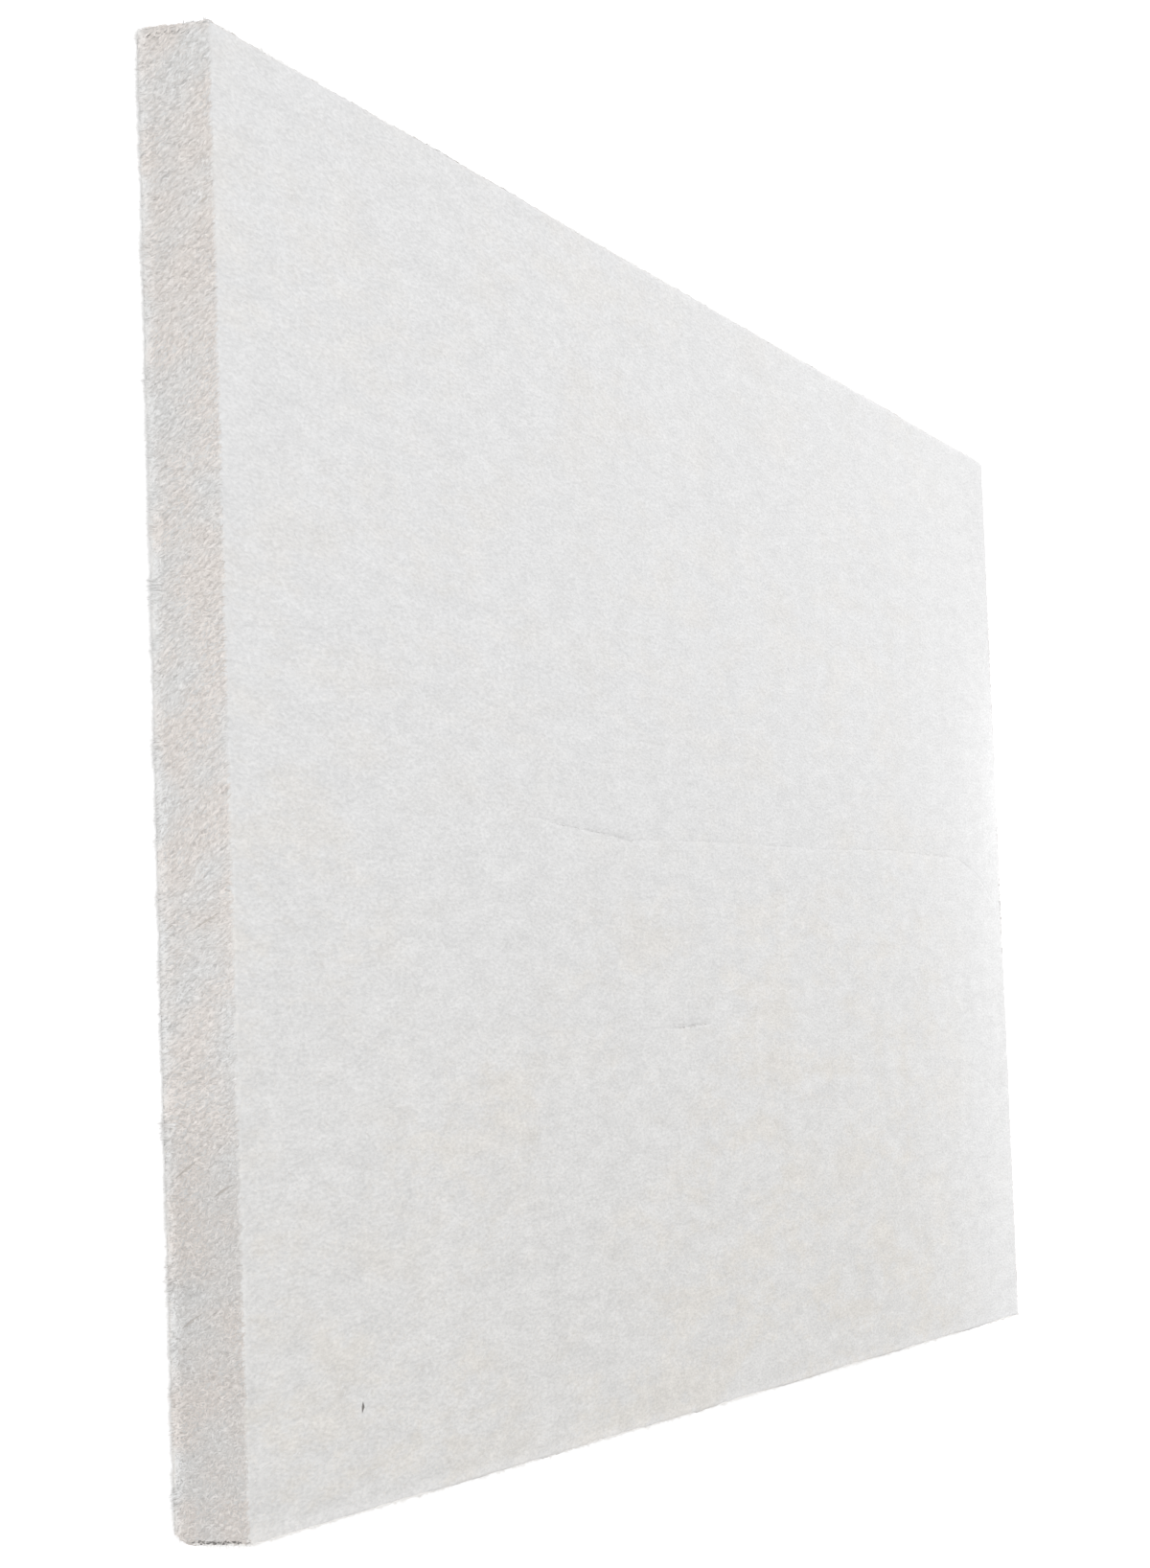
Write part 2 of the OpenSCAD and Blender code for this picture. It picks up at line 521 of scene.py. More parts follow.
def ring_points(x):
    """The rings of the felt body, one for each station: front, upper side, back, then lower side."""
    front, depth = front_rows(x)
    many = front.shape[1]
    ones = np.ones((len(x), 1))
    back = eased_steps(WIDTH, BACK_UPPER_R, BACK_LOWER_R, many - 1 - 2 * len(ARC_SHARES))
    upper = eased_steps(THICKNESS, FRONT_UPPER_R, BACK_UPPER_R, SIDE_ROWS)
    lower = eased_steps(THICKNESS, BACK_LOWER_R, FRONT_LOWER_R, SIDE_ROWS)
    y = np.concatenate([
        front[:, :-1],
        HALF_WIDTH * ones * np.ones(len(upper) - 1),
        (HALF_WIDTH - back[:-1]) * ones,
        -HALF_WIDTH * ones * np.ones(len(lower) - 1),
    ], axis=1)
    z = np.concatenate([
        THICKNESS * np.ones_like(front[:, :-1]),
        (THICKNESS - upper[:-1]) * ones,
        0 * ones * back[:-1],
        lower[:-1] * ones,
    ], axis=1)
    points, normals = tube_point(np.repeat(x[:, None], y.shape[1], axis=1), y, z)
    points[:, :many - 1, 2] -= depth[:, :-1]
    return points, normals, many, len(upper)


def ring_sides(ring, many, deep):
    """A ring's front, upper, back and lower sides, each in the order of the grid that the ring borders."""
    upper_start, back_start, lower_start = many - 1, many + deep - 2, 2 * many + deep - 3
    front = ring[:many]
    upper = ring[upper_start:back_start + 1]
    back = ring[back_start:lower_start + 1][::-1]
    lower = np.concatenate([ring[lower_start:], ring[:1]])[::-1]
    return front, upper, back, lower


def cap_grid(ring, many, deep):
    """The points inside a ring, as a grid of many by deep points whose border is the ring."""
    front, upper, back, lower = ring_sides(ring, many, deep)
    u = np.linspace(0, 1, many)[:, None, None]
    v = np.linspace(0, 1, deep)[None, :, None]
    across = (1 - v) * front[:, None] + v * back[:, None]
    through = (1 - u) * lower[None] + u * upper[None]
    corners = ((1 - u) * (1 - v) * front[0] + u * (1 - v) * front[-1]
               + (1 - u) * v * back[0] + u * v * back[-1])
    return (across + through - corners)[1:-1, 1:-1].reshape(-1, 3)


def cap_numbers(ring, many, deep, first):
    """The point numbers of a cap's grid: the ring's own round the border, and new ones inside it."""
    numbers = np.zeros((many, deep), int)
    numbers[:, 0], numbers[-1, :], numbers[:, -1], numbers[0, :] = ring_sides(ring, many, deep)
    inner = (many - 2) * (deep - 2)
    numbers[1:-1, 1:-1] = first + np.arange(inner).reshape(many - 2, deep - 2)
    return numbers


def quads(grid):
    """The four-sided faces of a grid of point numbers."""
    return np.stack([grid[:-1, :-1], grid[1:, :-1], grid[1:, 1:], grid[:-1, 1:]], axis=-1).reshape(-1, 4)


def bake_places(points, faces, kinds):
    """A bake map with the two large faces one above the other and the four edges in strips over them."""
    corners = points[faces]
    along = corners[..., 0] / LENGTH + 0.5
    across = corners[..., 1] / WIDTH + 0.5
    deep = corners[..., 2] / THICKNESS
    level = {"near": across / 2, "far": 0.5 + across / 2}
    upright = {"front": across, "back": across}
    uv = np.zeros(faces.shape + (2,))
    for kind, (start, height) in BAKE_STRIPS.items():
        chosen = kinds == kind
        uv[chosen, :, 0] = BAKE_MARGIN + (1 - 2 * BAKE_MARGIN) * level.get(kind, along)[chosen]
        uv[chosen, :, 1] = start + height * np.clip(upright.get(kind, deep)[chosen], 0, 1)
    return uv


def swell_out(piece, points):
    """Moves a piece's points along its normals by the swells of the felt, but never below the floor."""
    out = np.zeros(points.size, np.float32)
    piece.data.vertex_normals.foreach_get("vector", out)
    points = points + out.reshape(-1, 3) * swell(points)[:, None]
    points[:, 2] = np.maximum(points[:, 2], 0)
    piece.data.vertices.foreach_set("co", points.astype(np.float32).ravel())
    piece.data.update()


def felt_body():
    """The whole board as one closed mesh: rings from end to end, and a grid over each sawn end."""
    rings, normals, many, deep = ring_points(stations())
    total, round_it = rings.shape[:2]
    in_rings = total * round_it
    numbers = np.arange(in_rings).reshape(total, round_it)
    closed = np.concatenate([numbers, numbers[:, :1]], axis=1)
    near_points, far_points = (cap_grid(ring, many, deep) for ring in (rings[0], rings[-1]))
    near = cap_numbers(numbers[0], many, deep, in_rings)
    far = cap_numbers(numbers[-1], many, deep, in_rings + len(near_points))
    points = np.concatenate([rings.reshape(-1, 3), near_points, far_points])
    faces = np.concatenate([quads(closed), quads(near), quads(far)[:, ::-1]])
    stretch = np.repeat(["front", "upper", "back", "lower"], [many - 1, deep - 1, many - 1, deep - 1])
    ends = np.repeat(["near", "far"], (many - 1) * (deep - 1))
    kinds = np.concatenate([np.tile(stretch, total - 1), ends])
    sawn_ring = (np.abs(normals[0, :, 2]) < SAWN_FACING).astype(float)
    sawn = np.concatenate([np.tile(sawn_ring, total), np.ones(len(points) - in_rings)])
    piece = make_mesh("felt_board", points, faces, {"sawn": sawn}, bake_places(points, faces, kinds))
    swell_out(piece, points)
    return piece


def soft_normals(corners, facing, lean):
    """The shading normals of needle faces: the felt's own, leaned a little and never turned from a face."""
    flat = unit(np.cross(corners[:, 1] - corners[:, 0], corners[:, 2] - corners[:, 0]))
    soft = np.repeat(facing, len(NEEDLE_FACES), axis=0)[:, None] + FIBRE_LEAN * lean
    short = np.maximum(LEAST_FACING - (soft * flat[:, None]).sum(axis=2), 0)
    return unit((soft + short[..., None] * flat[:, None]).reshape(-1, 3))


def needle_points(roots, normals, runs, side, sizes):
    """The tail, head, ridge, left and right of each needle, with no needle below the floor."""
    length, width, rise, lift = sizes.T[:, :, None]
    dip = END_DIP_SHARE * width
    side_dip = SIDE_DIP_SHARE * dip
    tail = roots - runs * length / 2 - normals * dip
    head = roots + runs * length / 2 + normals * (lift - dip)
    ridge = roots + normals * rise
    left = roots + side * width / 2 - normals * side_dip
    right = roots - side * width / 2 - normals * side_dip
    points = np.stack([tail, head, ridge, left, right], axis=1)
    points[..., 2] += np.maximum(-points[..., 2].min(axis=1), 0)[:, None]
    return points


def strands(name, roots, normals, facing, runs, sizes, tone, warmth):
    """One mesh of closed three-sided needles, each dipping into the felt at its ends.

    facing has the normals that the needles are shaded with, and sizes a row for each needle: its length,
    width, the rise of its middle and the lift of its tip.
    """
    runs = laid_flat(runs, normals)
    side = np.cross(normals, runs)
    points = needle_points(roots, normals, runs, side, sizes)
    firsts = np.arange(len(roots)) * points.shape[1]
    faces = (firsts[:, None, None] + NEEDLE_FACES).reshape(-1, 3)
    points = points.reshape(-1, 3)
    # Painted light on each needle's ridge, painted shade at its ends and sides
    tones = np.clip(tone[:, None] + POINT_LIGHT_AND_SHADE, 0, 1).ravel()
    warmths = np.clip(warmth[:, None] + POINT_WARMTH_SHARE * POINT_LIGHT_AND_SHADE[::-1], 0, 1).ravel()
    uv = np.stack([tones, warmths], axis=1)[faces]
    piece = make_mesh(name, points, faces, {"tone": tones, "warmth": warmths}, uv)
    lean = np.stack([-runs, runs, 0 * runs, side, -side], axis=1)[:, NEEDLE_FACES].reshape(-1, 3, 3)
    piece.data.normals_split_custom_set(soft_normals(points[faces], facing, lean))
    return piece


def needle_sizes(rng, count, limits):
    """Random sizes for needles, each between its two limits, with high tips the rarest."""
    *plain, (low_lift, high_lift) = limits
    columns = [rng.uniform(low, high, count) for low, high in plain]
    columns.append(low_lift + (high_lift - low_lift) * rng.uniform(0, 1, count)**LIFT_POWER)
    return np.stack(columns, axis=1)


def outside(points):
    """How far each point lies outside the eased board; less than 0 inside it."""
    _, _, span, radius = from_core(points[:, 1], points[:, 2])
    return np.maximum(span - radius, np.abs(points[:, 0]) - HALF_LENGTH)


def trimmed(roots, runs, length):
    """Lengths cut short until neither end of a needle reaches too far outside the board."""
    for _ in range(TRIM_PASSES):
        half = runs * length[:, None] / 2
        reach = np.maximum(outside(roots + half), outside(roots - half))
        length = np.where(reach > TRIM_SPARE, TRIM_SHARE * length, length)
    return length


def face_fibres(rng):
    """Short fibres pressed flat on the front face, mostly along its length."""
    x = rng.uniform(-HALF_LENGTH, HALF_LENGTH, FACE_FIBRES)
    y = rng.uniform(-HALF_WIDTH, HALF_WIDTH, FACE_FIBRES)
    roots, normals = tube_point(x, y, np.full(FACE_FIBRES, THICKNESS))
    angles = rng.normal(math.radians(FACE_ANGLE), math.radians(FACE_SPREAD), FACE_FIBRES)
    runs = turned(ALONG, ACROSS, angles)
    sizes = needle_sizes(rng, FACE_FIBRES, FACE_SIZES)
    sizes[:, 0] = trimmed(roots, runs, sizes[:, 0])
    roots = roots + normals * swell(roots)[:, None]
    # Painted highlight in a band beside the near arris
    near_arris = 1 - smooth_step(x + HALF_LENGTH, 0, ARRIS_BAND)
    # Painted light on the lower rim
    lit_rim = 1 - smooth_step(y + HALF_WIDTH, RIM_START, RIM_STOP)
    # Painted shade towards the foot, and soil that warms the fibres there
    soil_and_shade = smooth_step(y, SOIL_TOP, SOIL_AND_SHADE_FOOT)
    tone = rng.uniform(*FACE_TONES, FACE_FIBRES) + ARRIS_HIGHLIGHT_TONE * near_arris
    tone += FACE_FOOT_SHADE_TONE * soil_and_shade + FACE_RIM_LIGHT_TONE * lit_rim
    far_fade = 1 - (1 - FADE_LEAST) * smooth_step(x, FADE_START, FADE_STOP)
    patchy = FACE_WARMTH + FACE_WARMTH_SWING * ripple(roots, FACE_WARMTH_WAVE, FACE_SEED)
    warmth = soil_and_shade * far_fade * patchy + ARRIS_WARMTH * near_arris
    return strands("front_face_fibres", roots, normals, normals, runs, sizes, tone, warmth)


def furrows(roots, run, across, seed):
    """Height of the saw's furrows at each root, and their slope across the furrows, for a depth of 1."""
    comb = np.stack([roots @ run / FURROW_LONG, roots @ across / FURROW_WIDE], axis=1)
    height = ripple(comb, 1, seed, FURROW_WAVES)
    beside = ripple(comb + np.array((0, FURROW_NUDGE)), 1, seed, FURROW_WAVES)
    return height, (beside - height) / (FURROW_NUDGE * FURROW_WIDE)


def sawn_sizes(roots, runs, soil_and_shade, to_back, coarse, seed, rng):
    """Sizes of sawn fibres: soil mats them, and along the back they fluff up in tufts."""
    sizes = needle_sizes(rng, len(roots), SAWN_SIZES)
    sizes[:, :2] *= coarse
    sizes[:, 0] = trimmed(roots, runs, sizes[:, 0])
    sizes[:, 2] *= 1 - SOIL_MATTING * soil_and_shade
    tufts = np.clip(1 + TUFT_SWING * ripple(roots, TUFT_WAVE, seed), 0, MOST_TUFT)
    sizes[:, 3] += FLUFF_LIFT * to_back * tufts * rng.uniform(0, 1, len(roots))**FLUFF_POWER
    return sizes


def sawn_tones(furrow, soil_and_shade, to_back, rng):
    """Tones of sawn fibres: dark ones are rare, furrows add painted light and shade, the lower side painted
    shade, and the back painted light.
    """
    fall = SAWN_TONE_FALL * rng.uniform(0, 1, len(furrow))**DARK_POWER
    low_shade = SAWN_LOW_SHADE_TONE * soil_and_shade * (1 - BACK_SPARED * to_back)
    return SAWN_TONE - fall + FURROW_SHADE_TONE * furrow - low_shade + BACK_LIGHT_TONE * to_back


def sawn_fibres(name, roots, normals, outward, along, coarse, seed, rng):
    """Fibres that the saw has dragged slantwise across the thickness of an edge, in long furrows."""
    swing_seed, small_seed, large_seed, tuft_seed = seed + 1, seed + 2, seed + 3, seed + 4
    # Soil and painted shade towards the lower side
    soil_and_shade = smooth_step(roots[:, 1], SAWN_LOW_TOP, SAWN_LOW_FOOT)
    # Painted light along the back of the edge
    to_back = 1 - smooth_step(roots[:, 2], 0, BACK_BAND)
    depth = FURROW_DEPTH * (1 - SOIL_MATTING * soil_and_shade)
    main_run, across = turned(THROUGH, along, np.radians([SLANT, SLANT + 90]))
    furrow, slope = furrows(roots, main_run, across, seed)
    facing = unit(outward - (depth * slope)[:, None] * across + FLUFF_LEAN * to_back[:, None] * THROUGH)
    slants = SLANT + SLANT_SWING * ripple(roots, SWING_WAVE, swing_seed)
    angles = np.radians(rng.normal(slants, SLANT_SPREAD + SOILED_SPREAD * soil_and_shade))
    runs = laid_flat(-turned(THROUGH, along, angles), normals)
    sizes = sawn_sizes(roots, runs, soil_and_shade, to_back, coarse, tuft_seed, rng)
    roots = roots + normals * (swell(roots) + depth * furrow + SAWN_LIFT)[:, None]
    # Painted shade in the furrows and painted light on their crests, through the tones
    tone = sawn_tones(furrow, soil_and_shade, to_back, rng)
    warmth = SAWN_WARMTH + SMALL_WARMTH * ripple(roots, SMALL_WAVE, small_seed)
    warmth += LARGE_WARMTH * ripple(roots, LARGE_WAVE, large_seed) - BACK_COOLING * to_back
    return strands(name, roots, normals, facing, runs, sizes, tone, warmth)


def end_fibres(name, end, count, coarse, seed, rng):
    """The fibres of a sawn end."""
    y = rng.uniform(-HALF_WIDTH, HALF_WIDTH, count)
    z = np.abs(rng.uniform(-BACK_EXTRA, THICKNESS, count))
    roots, normals, inside = end_point(end, y, z)
    kept = inside > np.where(z > THICKNESS / 2, FRONT_BARE, BACK_BARE)
    return sawn_fibres(name, roots[kept], normals[kept], end * ALONG, ACROSS, coarse, seed, rng)


def side_fibres(name, side, seed, rng):
    """The fibres of a long side."""
    x = rng.uniform(SIDE_BARE - HALF_LENGTH, HALF_LENGTH - SIDE_BARE, SIDE_FIBRES)
    z = rng.uniform(0, THICKNESS - SIDE_FRONT_BARE, SIDE_FIBRES)
    roots, normals = tube_point(x, np.full(SIDE_FIBRES, side * HALF_WIDTH), z)
    return sawn_fibres(name, roots, normals, side * ACROSS, ALONG, SIDE_COARSE, seed, rng)


def arris_fuzz(rng):
    """Hairs that stand out from the arrises, painted paler than the felt as painted light for the light
    through them.
    """
    parts = []
    for start, stop, out, up, facing, count, reach in FUZZ_LINES:
        step = np.subtract(stop, start)
        roots = np.array(start) + rng.uniform(0, 1, count)[:, None] * step
        runs = turned(out, step / np.linalg.norm(step), np.radians(rng.normal(0, FUZZ_SPREAD, count)))
        ups, facings = (np.tile(way, (count, 1)) for way in (up, facing))
        parts.append((roots, ups, facings, runs, np.full(count, reach)))
    roots, normals, facings, runs, reach = (np.concatenate(column) for column in zip(*parts))
    count = len(roots)
    sizes = needle_sizes(rng, count, FUZZ_SIZES)
    tufts = np.clip(1 + FUZZ_TUFT_SWING * ripple(roots, FUZZ_TUFT_WAVE, FUZZ_SEED), *FUZZ_TUFT_LIMITS)
    sizes[:, 0] += reach * rng.uniform(0, 1, count)**FUZZ_POWER * tufts
    warmth = rng.uniform(*FUZZ_WARMTHS, count)
    warmth += FUZZ_SOIL_WARMTH * smooth_step(roots[:, 1], SOIL_TOP, SOIL_AND_SHADE_FOOT)
    return strands("arris_fuzz", roots, normals, facings, runs, sizes, np.ones(count), warmth)


def shadow_and_soil_specks(rng):
    """Dark specks: a painted shadow along the foot of the near end, and one fleck of soil on the front face.
    """
    z = rng.uniform(BACK_LOWER_R, THICKNESS - FRONT_LOWER_R, FOOT_SHADOW_SPECKS)
    y = rng.uniform(*SPECK_HEIGHTS, FOOT_SHADOW_SPECKS) - HALF_WIDTH
    roots, normals, _ = end_point(-1, y, z)
    runs = turned(THROUGH, ACROSS, np.radians(rng.normal(0, SPECK_SPREAD, FOOT_SHADOW_SPECKS)))
    sizes = needle_sizes(rng, FOOT_SHADOW_SPECKS, SPECK_SIZES)
    fleck, fleck_normal = tube_point(np.array([FLECK_X]), np.array([FLECK_Y]), np.array([THICKNESS]))
    roots = np.concatenate([roots, fleck])
    normals = np.concatenate([normals, fleck_normal])
    runs = np.concatenate([runs, [FLECK_RUN]])
    sizes = np.concatenate([sizes, [FLECK_SIZE]])
    roots = roots + normals * (swell(roots) + SAWN_LIFT)[:, None]
    tone = rng.uniform(*SPECK_TONES, len(roots))
    return strands("shadow_and_soil_specks", roots, normals, normals, runs, sizes, tone, np.zeros(len(roots)))


def saw_marks(rng):
    """A few long dark needles on the near end: painted shade in grooves that the saw has left."""
    y, z, length = np.array(SAW_MARKS).T * MM
    count = len(length)
    roots, normals, _ = end_point(-1, y, z)
    roots = roots + normals * (swell(roots) + MARK_LIFT)[:, None]
    runs = turned(THROUGH, ACROSS, np.radians(rng.normal(SLANT, MARK_SPREAD, count)))
    shared = [np.full(count, size) for size in (MARK_WIDTH, MARK_RISE, 0)]
    sizes = np.stack([length, *shared], axis=1)
    tone = rng.uniform(*MARK_TONES, count)
    warmth = rng.uniform(0, 1, count)
    return strands("saw_marks", roots, normals, normals, runs, sizes, tone, warmth)


def feed(tree, socket, value):
    """Links a socket to another one, or sets its value."""
    if isinstance(value, bpy.types.NodeSocket):
        tree.links.new(value, socket)
    else:
        socket.default_value = value


def node(tree, kind, inputs=(), **settings):
    """A new node with its settings, and its inputs linked or set by name."""
    made = tree.nodes.new(kind)
    for key, value in settings.items():
        setattr(made, key, value)
    for key, value in dict(inputs).items():
        feed(tree, made.inputs[key], value)
    return made


def math_node(tree, operation, *values):
    """The result of a sum on sockets and numbers."""
    made = node(tree, "ShaderNodeMath", operation=operation)
    for socket, value in zip(made.inputs, values):
        feed(tree, socket, value)
    return made.outputs[0]


def mix(tree, share, first, second, blend="MIX"):
    """Two colours mixed by a share."""
    made = node(tree, "ShaderNodeMix", data_type="RGBA", blend_type=blend)
    for socket, value in zip((made.inputs[0], made.inputs[6], made.inputs[7]), (share, first, second)):
        feed(tree, socket, value)
    return made.outputs[2]


def shaded(tree, colour, shade):
    """A colour darkened by a shade."""
    return mix(tree, 1.0, colour, shade, "MULTIPLY")


def rgba(colour):
    """A colour with nothing seen through it."""
    return (*colour, 1)


def grey(level):
    """A grey of one level."""
    return (level, level, level, 1)


def ranged(tree, value, start, stop, low=0, high=1):
    """A value carried from one range to another, and held inside it."""
    limits = {"From Min": start, "From Max": stop, "To Min": low, "To Max": high}
    return node(tree, "ShaderNodeMapRange", {"Value": value, **limits}).outputs["Result"]


def streaks(tree, place, scale, turn, detail, roughness):
    """Noise stretched along the length and turned in the plane of the face."""
    rotation = (0, 0, math.radians(turn))
    mapping = node(tree, "ShaderNodeMapping", {"Vector": place, "Rotation": rotation, "Scale": scale})
    settings = {"Vector": mapping.outputs["Vector"], "Scale": 1, "Detail": detail, "Roughness": roughness}
    return node(tree, "ShaderNodeTexNoise", settings).outputs["Fac"]


def new_material(name):
    """An empty node material, its tree and its Principled shader."""
    material = bpy.data.materials.new(name)
    material.use_nodes = True
    tree = material.node_tree
    tree.nodes.clear()
    shader = node(tree, "ShaderNodeBsdfPrincipled", {"Roughness": ROUGHNESS, "Specular IOR Level": SPECULAR})
    out = node(tree, "ShaderNodeOutputMaterial")
    tree.links.new(shader.outputs["BSDF"], out.inputs["Surface"])
    return material, tree, shader


def face_painted_shade(tree, along, across):
    """How much painted shade darkens the face: most at its foot, less at the far end, none on the lower rim.
    """
    rim = ranged(tree, across, RIM_START - HALF_WIDTH, RIM_STOP - HALF_WIDTH)
    thinning = ranged(tree, along, THIN_START, THIN_STOP, 1, THIN_LEAST)
    low = ranged(tree, across, SHADE_TOP, SOIL_AND_SHADE_FOOT)
    return math_node(tree, "MULTIPLY", rim, math_node(tree, "MULTIPLY", thinning, low))


def face_colour(tree, along, across, patches, soil_and_shade):
    """The pressed face: cool, with warm patches, warmer where it is soiled, and darker by painted shade
    towards the foot.
    """
    low = ranged(tree, across, SOIL_TOP, SOIL_AND_SHADE_FOOT)
    far_fade = ranged(tree, along, FADE_START, FADE_STOP, 1, FADE_LEAST)
    soiled = math_node(tree, "MULTIPLY_ADD", patches, SOILED_PATCH_WARMTH, SOIL_WARMTH)
    plain = math_node(tree, "MULTIPLY", patches, PATCH_WARMTH)
    warmth = math_node(tree, "MULTIPLY", math_node(tree, "MULTIPLY_ADD", low, soiled, plain), far_fade)
    clean = mix(tree, warmth, rgba(FACE_COOL), rgba(FACE_WARM))
    return mix(tree, soil_and_shade, clean, shaded(tree, clean, rgba(PAINTED_FOOT_SHADE)))


def edge_colour(tree, across, patches):
    """The felt under the sawn fibres, darker towards the lower side by painted shade."""
    light = mix(tree, patches, rgba(SAWN_COOL), rgba(SAWN_WARM))
    base = shaded(tree, light, rgba(SAWN_BASE_SHADE))
    soil_and_shade = ranged(tree, across, SAWN_LOW_TOP, SAWN_LOW_FOOT)
    return mix(tree, soil_and_shade, base, shaded(tree, base, rgba(SAWN_LOW_SHADE)))


def felt_material():
    """Pressed felt: fine streaks along the length, cloudy tones, and more soil and painted shade towards the
    lower side.
    """
    material, tree, shader = new_material("pressed_felt")
    place = node(tree, "ShaderNodeTexCoord").outputs["Object"]
    along, across, _ = node(tree, "ShaderNodeSeparateXYZ", {"Vector": place}).outputs
    sawn = node(tree, "ShaderNodeAttribute", attribute_name="sawn").outputs["Fac"]
    grains = math_node(tree, "ADD", streaks(tree, place, *FINE_GRAIN), streaks(tree, place, *FINER_GRAIN))
    grain = ranged(tree, grains, *GRAIN_LIMITS)
    clouds = ranged(tree, streaks(tree, place, *CLOUDS), *CLOUD_LIMITS)
    bands = ranged(tree, streaks(tree, place, *BANDS), *BAND_LIMITS)
    flecks = ranged(tree, streaks(tree, place, *FLECKS), *FLECK_LIMITS)
    regions = ranged(tree, streaks(tree, place, *REGIONS), *REGION_LIMITS)
    patches = math_node(tree, "MULTIPLY", flecks, regions)
    # Painted shade towards the foot, thinner at the far end and none on the lower rim
    soil_and_shade = face_painted_shade(tree, along, across)
    face = face_colour(tree, along, across, patches, soil_and_shade)
    colour = mix(tree, sawn, face, edge_colour(tree, across, patches))
    cloud_shade = mix(tree, soil_and_shade, rgba(CLOUD_SHADE), rgba(FOOT_CLOUD_SHADE))
    grain_shade = mix(tree, soil_and_shade, rgba(GRAIN_SHADE), rgba(FOOT_GRAIN_SHADE))
    for pattern, shade in ((clouds, cloud_shade), (bands, rgba(BAND_SHADE)), (grain, grain_shade)):
        colour = mix(tree, pattern, shaded(tree, colour, shade), colour)
    feed(tree, shader.inputs["Base Color"], colour)
    relief = {"Height": grain, "Strength": BUMP_STRENGTH, "Distance": BUMP_DISTANCE}
    bump = node(tree, "ShaderNodeBump", relief)
    feed(tree, shader.inputs["Normal"], bump.outputs["Normal"])
    return material


def fibre_material(name, cool, warm, darkest):
    """Loose fibres, each with a tone and a warmth of its own."""
    material, tree, shader = new_material(name)
    tone = node(tree, "ShaderNodeAttribute", attribute_name="tone").outputs["Fac"]
    warmth = node(tree, "ShaderNodeAttribute", attribute_name="warmth").outputs["Fac"]
    light = mix(tree, warmth, rgba(cool), rgba(warm))
    feed(tree, shader.inputs["Base Color"], mix(tree, tone, shaded(tree, light, rgba(darkest)), light))
    return material


def finish_piece(piece, material):
    """Gives a piece its material and the body that it rides on."""
    piece.data.materials.append(material)
    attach(piece, "root")


def camera_ray(tree):
    """1 for what the camera sees, itself, by reflection or through glass; 0 for the light of the scene."""
    path = node(tree, "ShaderNodeLightPath")
    seen = path.outputs["Is Camera Ray"]
    for other in ("Is Glossy Ray", "Is Transmission Ray"):
        seen = math_node(tree, "MAXIMUM", seen, path.outputs[other])
    return seen


def make_world():
    """An even pale dome that shows white."""
    world = bpy.data.worlds.new("dome")
    bpy.context.scene.world = world
    world.use_nodes = True
    tree = world.node_tree
    tree.nodes.clear()
    colour = mix(tree, camera_ray(tree), grey(DOME_LEVEL), WHITE)
    background = node(tree, "ShaderNodeBackground", {"Color": colour, "Strength": 1})
    out = node(tree, "ShaderNodeOutputWorld")
    tree.links.new(background.outputs[0], out.inputs["Surface"])


def make_floor():
    """A white floor that keeps the board's shadow."""
    mesh = bpy.data.meshes.new("floor")
    signs = ((-1, -1), (1, -1), (1, 1), (-1, 1))
    corners = [(x * FLOOR_HALF_SIDE, y * FLOOR_HALF_SIDE, -FLOOR_DROP) for x, y in signs]
    mesh.from_pydata(corners, [], [(0, 1, 2, 3)])
    floor = bpy.data.objects.new("floor", mesh)
    bpy.context.scene.collection.objects.link(floor)
    material, tree, shader = new_material("white_floor")
    feed(tree, shader.inputs["Base Color"], grey(FLOOR_ALBEDO))
    feed(tree, shader.inputs["Emission Color"], WHITE)
    glow = math_node(tree, "MULTIPLY", camera_ray(tree), FLOOR_GLOW)
    feed(tree, shader.inputs["Emission Strength"], glow)
    mesh.materials.append(material)


def make_lamp(name, place, aim, size, power):
    """A square soft lamp turned towards a point."""
    light = bpy.data.lights.new(name, "AREA")
    light.shape = "SQUARE"
    light.size = size
    light.energy = power
    lamp = bpy.data.objects.new(name, light)
    lamp.location = place
    lamp.rotation_euler = (Vector(aim) - Vector(place)).to_track_quat("-Z", "Y").to_euler()
    bpy.context.scene.collection.objects.link(lamp)


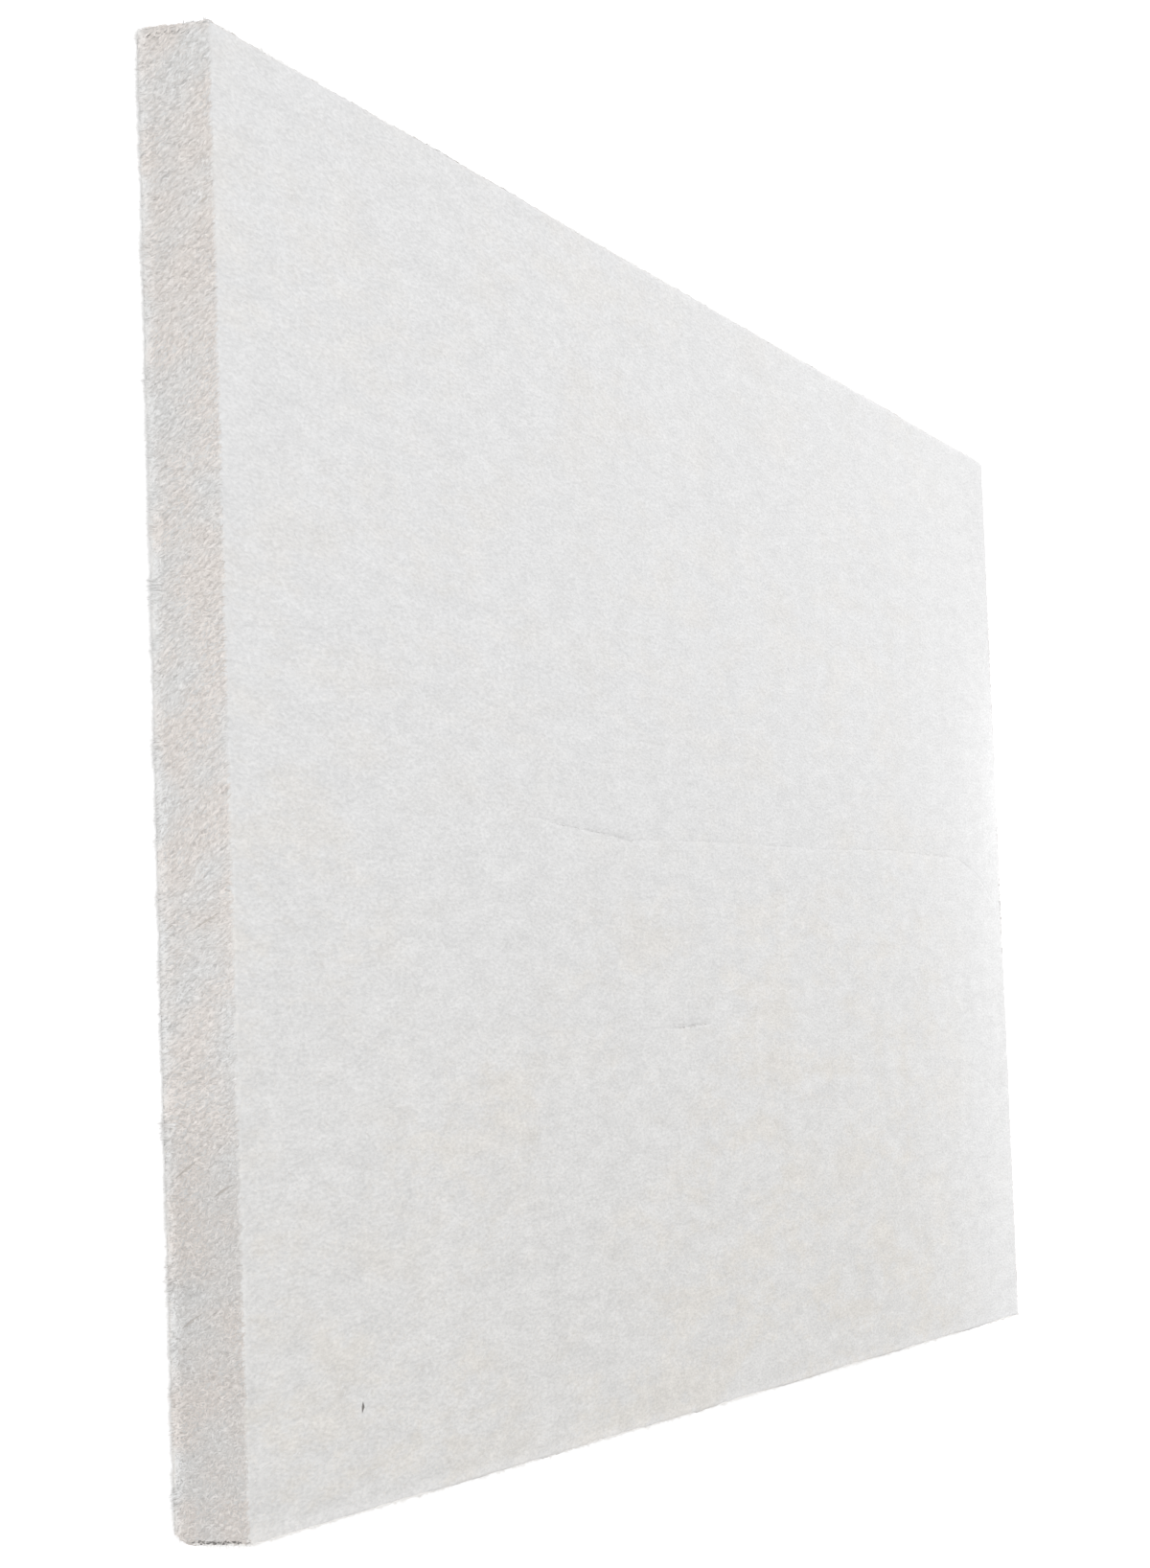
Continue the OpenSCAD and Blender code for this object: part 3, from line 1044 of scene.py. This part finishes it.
def make_camera():
    """The photograph's view: down on the board, with its width upright in the picture."""
    data = bpy.data.cameras.new("camera")
    data.sensor_width = SENSOR_MM
    data.lens = FOCAL_PX / PICTURE_HEIGHT_PX * SENSOR_MM
    camera = bpy.data.objects.new("camera", data)
    back = (CAMERA_PLACE - CAMERA_AIM).normalized()
    right = PICTURE_UP.cross(back).normalized()
    up = back.cross(right)
    camera.matrix_world = Matrix.Translation(CAMERA_PLACE) @ Matrix((right, up, back)).transposed().to_4x4()
    bpy.context.scene.collection.objects.link(camera)
    bpy.context.scene.camera = camera


make_camera()
bpy.context.scene.view_settings.view_transform = "Standard"
make_world()
make_floor()
for lamp in LAMPS:
    make_lamp(*lamp)

body = felt_body()
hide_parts("board")
finish_piece(body, felt_material())

rng = np.random.default_rng(RANDOM_SEED)
face_fibre = fibre_material("face_fibre", FACE_COOL, FACE_WARM, FIBRE_SHADE)
sawn_fibre = fibre_material("sawn_fibre", SAWN_COOL, SAWN_WARM, SAWN_SHADE)
finish_piece(face_fibres(rng), face_fibre)
finish_piece(end_fibres("near_end_fibres", -1, NEAR_FIBRES, NEAR_COARSE, NEAR_SEED, rng), sawn_fibre)
finish_piece(end_fibres("far_end_fibres", 1, FAR_FIBRES, FAR_COARSE, FAR_SEED, rng), sawn_fibre)
finish_piece(side_fibres("upper_side_fibres", 1, UPPER_SEED, rng), sawn_fibre)
finish_piece(side_fibres("lower_side_fibres", -1, LOWER_SEED, rng), sawn_fibre)
# Hairs painted paler than the felt, as painted light
finish_piece(arris_fuzz(rng), fibre_material("arris_fuzz", FUZZ_COOL, FUZZ_WARM, FIBRE_SHADE))
# Dark specks: a painted shadow along the foot of the near end, and a fleck of soil
finish_piece(shadow_and_soil_specks(rng), fibre_material("soil_and_shade", SPECK_DARK, SPECK_BROWN, FIBRE_SHADE))
# Dark needles: painted shade in the saw's grooves
finish_piece(saw_marks(rng), fibre_material("saw_mark", GROOVE_SHADE_COOL, GROOVE_SHADE_WARM, FIBRE_SHADE))
